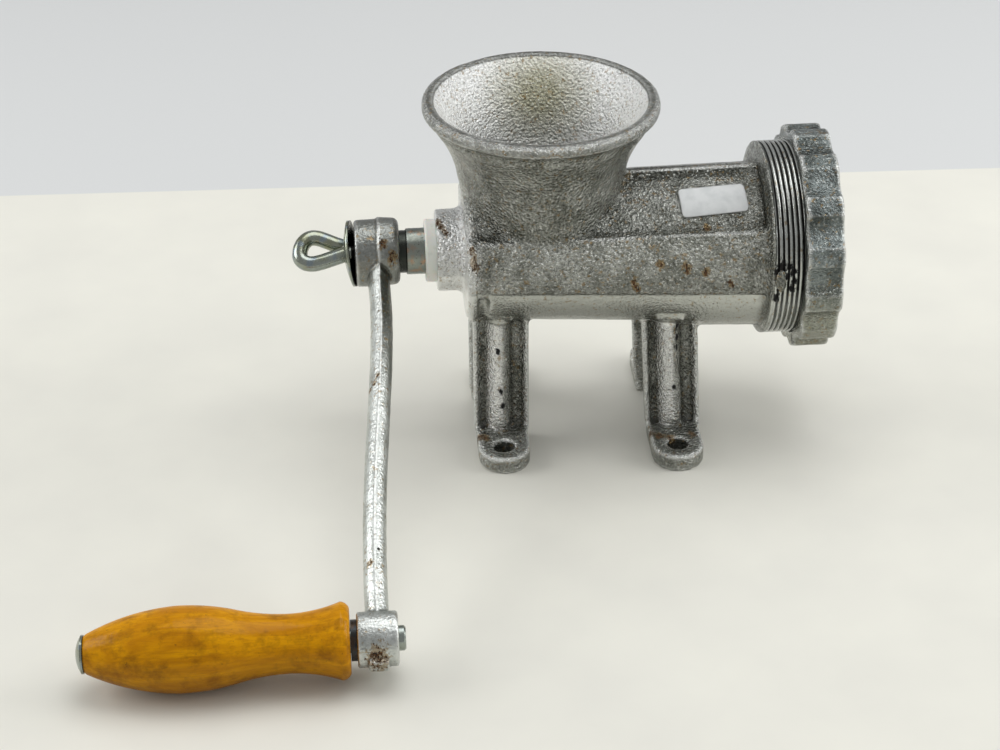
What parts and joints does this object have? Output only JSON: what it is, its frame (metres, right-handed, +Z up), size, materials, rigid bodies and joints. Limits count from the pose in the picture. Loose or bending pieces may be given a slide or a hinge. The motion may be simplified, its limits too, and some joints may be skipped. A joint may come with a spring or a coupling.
{
  "type": "manual meat grinder",
  "caption": "Hand-cranked cast meat grinder with a flared hopper, bolt-down feet, a wavy ring nut and a wooden crank grip.",
  "frame": {"origin": "on the bench, midway between the two crank-side bolt holes, straight below the shaft line", "axes": "+X along the shaft from the crank to the outlet, +Z up, -Y towards the side where the crank's grip lies"},
  "size_m": [0.3701, 0.286, 0.185],
  "materials": {
    "tinned_iron": "tinned casting, rough",
    "turned_steel": "turned, with heat tint",
    "zinc_steel": "zinc plated, bright",
    "hard_steel": "ground",
    "nylon": "milky",
    "varnished_wood": "clear varnish over light wood"
  },
  "bodies": {
    "root": {"housing": "tinned_iron", "plate_key": "hard_steel", "rear_bush": "nylon", "thrust_washer": "nylon"},
    "crank": {"feed_screw": "tinned_iron", "drive_shaft": "turned_steel", "knife_stud": "hard_steel", "cross_knife": "hard_steel", "crank_arm": "tinned_iron", "handle_spindle": "turned_steel", "spindle_washer": "turned_steel"},
    "grip": {"handle_grip": "varnished_wood"},
    "plate": {"grinding_plate": "hard_steel"},
    "nut": {"ring_nut": "tinned_iron"},
    "washer": {"dished_washer": "zinc_steel"},
    "eye": {"eye_screw": "zinc_steel"}
  },
  "joints": [
    {"name": "crank_turn", "type": "hinge", "parent": "root", "child": "crank", "pos_m": [-0.0354, 0, 0.1027], "axis": [1, 0, 0], "continuous": true},
    {"name": "grip_spin", "type": "hinge", "parent": "crank", "child": "grip", "pos_m": [-0.1404, -0.2077, 0.01936], "axis": [1, 0, 0], "continuous": true},
    {"name": "plate_slide", "type": "slide", "parent": "root", "child": "plate", "axis": [1, 0, 0], "range_m": [0, 0.0125]},
    {"name": "nut_turn", "type": "hinge", "parent": "plate", "child": "nut", "pos_m": [0.1546, 0, 0.1027], "axis": [1, 0, 0], "range_deg": [0, 1800]},
    {"name": "washer_slide", "type": "slide", "parent": "crank", "child": "washer", "axis": [-1, 0, 0], "range_m": [0, 0.01875]},
    {"name": "eye_turn", "type": "hinge", "parent": "washer", "child": "eye", "pos_m": [-0.0854, 0, 0.1027], "axis": [-1, 0, 0], "range_deg": [0, 5400]}
  ],
  "couplings": [
    {"joint": "plate_slide", "follows": "nut_turn", "m_per_rad": 0.00039789},
    {"joint": "eye_turn", "follows": "washer_slide", "rad_per_m": 5026.5}
  ]
}
